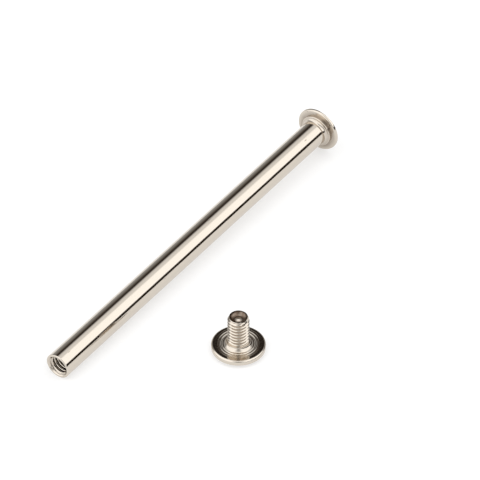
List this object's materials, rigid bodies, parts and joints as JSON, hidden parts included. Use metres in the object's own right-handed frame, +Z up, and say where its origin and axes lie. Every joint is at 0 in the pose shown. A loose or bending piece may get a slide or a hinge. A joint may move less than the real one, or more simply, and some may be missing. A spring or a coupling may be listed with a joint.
{
  "type": "binding barrel screw",
  "caption": "Long binding barrel with a low domed slotted head and a blind tapped hole, beside its short screw with a slot and cross recess.",
  "frame": {"origin": "on the surface that the pair lies on, below the middle of the pair's box", "axes": "+X along the barrel from its mouth to its head, +Z up from the surface, and the screw stands on the -Y side"},
  "size_m": [0.0814, 0.0314, 0.009],
  "materials": {
    "nickel_plate_barrel": "bright nickel plate on turned steel",
    "nickel_plate_screw": "bright nickel plate on cold-headed steel"
  },
  "bodies": {
    "root": {"barrel": "nickel_plate_barrel", "screw": "nickel_plate_screw"}
  },
  "joints": []
}
